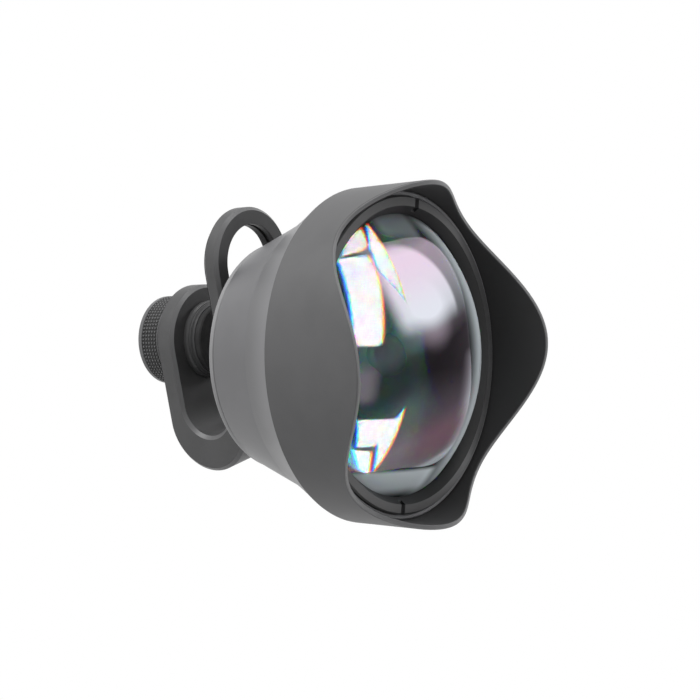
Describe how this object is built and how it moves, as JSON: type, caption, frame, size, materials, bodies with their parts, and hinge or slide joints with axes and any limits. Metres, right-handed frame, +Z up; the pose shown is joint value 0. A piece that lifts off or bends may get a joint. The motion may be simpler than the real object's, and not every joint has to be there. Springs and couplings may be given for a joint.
{
  "type": "phone lens",
  "caption": "Clip-on telephoto lens for a phone, with a petal hood and a domed front glass, on a slotted U-shaped clip with a knurled clamp screw.",
  "frame": {"origin": "on the optical axis, in the plane of the clip's rubber face where the phone's back lies", "axes": "+Y along the optical axis from the lens towards the phone, so the lens looks along -Y; +Z up along the clip's legs; +X across the clip"},
  "size_m": [0.0772, 0.0875, 0.077],
  "materials": {
    "clip_metal": "satin black anodised aluminium",
    "barrel_metal": "satin black anodised aluminium, turned",
    "hood_metal": "matte black anodised aluminium",
    "mount_metal": "satin black anodised aluminium, turned",
    "ring_metal": "satin black anodised aluminium",
    "cell_metal": "matte black light-trap finish",
    "slide_metal": "satin black anodised aluminium",
    "knob_metal": "satin black anodised aluminium, knurled",
    "foot_metal": "satin black anodised aluminium",
    "steel": "plain steel",
    "spring_steel": "spring steel",
    "rubber": "matte black rubber",
    "front_glass": "polished, with a violet coating",
    "inner_glass": "polished, with a green coating"
  },
  "bodies": {
    "clip": {"clip_frame": "clip_metal", "phone_face_pad": "rubber"},
    "slide": {"slide_ring": "slide_metal", "slide_snap_ring": "spring_steel"},
    "lens": {"rear_mount": "mount_metal", "barrel": "barrel_metal", "hood": "hood_metal", "front_crown": "front_glass", "front_flint": "inner_glass", "front_retaining_ring": "ring_metal", "front_gasket": "rubber", "lens_cell": "cell_metal", "middle_lens": "inner_glass", "middle_retainer": "cell_metal", "rear_lens_a": "inner_glass", "rear_spacer": "cell_metal", "rear_lens_b": "inner_glass", "rear_retainer": "cell_metal"},
    "clamp_foot": {"foot": "foot_metal", "clamp_pad": "rubber"},
    "screw": {"clamp_screw": "steel", "foot_clip": "spring_steel", "knob": "knob_metal"}
  },
  "joints": [
    {"name": "lens_slide", "type": "slide", "parent": "clip", "child": "slide", "axis": [0, 0, 1], "range_m": [0, 0.0224]},
    {"name": "lens_turn", "type": "hinge", "parent": "slide", "child": "lens", "pos_m": [0, 0, 0], "axis": [0, -1, 0], "range_deg": [0, 330]},
    {"name": "clamp_slide", "type": "slide", "parent": "clip", "child": "clamp_foot", "axis": [0, -1, 0], "range_m": [0, 0.0018]},
    {"name": "clamp_turn", "type": "hinge", "parent": "clamp_foot", "child": "screw", "pos_m": [0, 0.0189, 0.0042], "axis": [0, -1, 0], "range_deg": [0, 648]}
  ],
  "couplings": [
    {"joint": "clamp_slide", "follows": "clamp_turn", "m_per_rad": 0.00015915}
  ]
}
